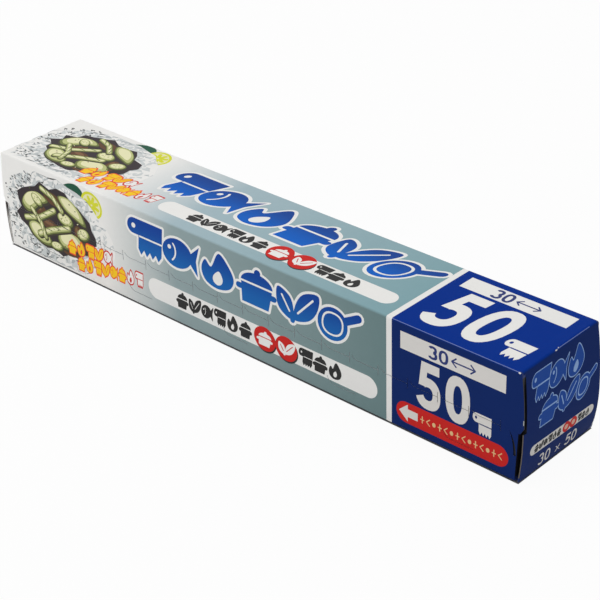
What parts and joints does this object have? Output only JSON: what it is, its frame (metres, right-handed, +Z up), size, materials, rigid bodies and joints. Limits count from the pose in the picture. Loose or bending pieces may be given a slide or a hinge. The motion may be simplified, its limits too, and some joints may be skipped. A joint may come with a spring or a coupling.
{
  "type": "boxed aluminium foil roll",
  "caption": "Long square coated-board carton, sealed round a roll of kitchen foil, with sprung end panels, a toothed tear line, a lower tear line and a thumb tab.",
  "frame": {"origin": "centre of the carton's base, midway between the two ends and between the front and the back", "axes": "+X along the carton's length towards the end with the thumb tab, -Y out of the tear front, +Z up out of the top"},
  "size_m": [0.3172, 0.051, 0.051],
  "materials": {
    "coated_board": "white coated board with a semi-gloss printed face"
  },
  "bodies": {
    "root": {"sealed_carton": "coated_board"}
  },
  "joints": []
}
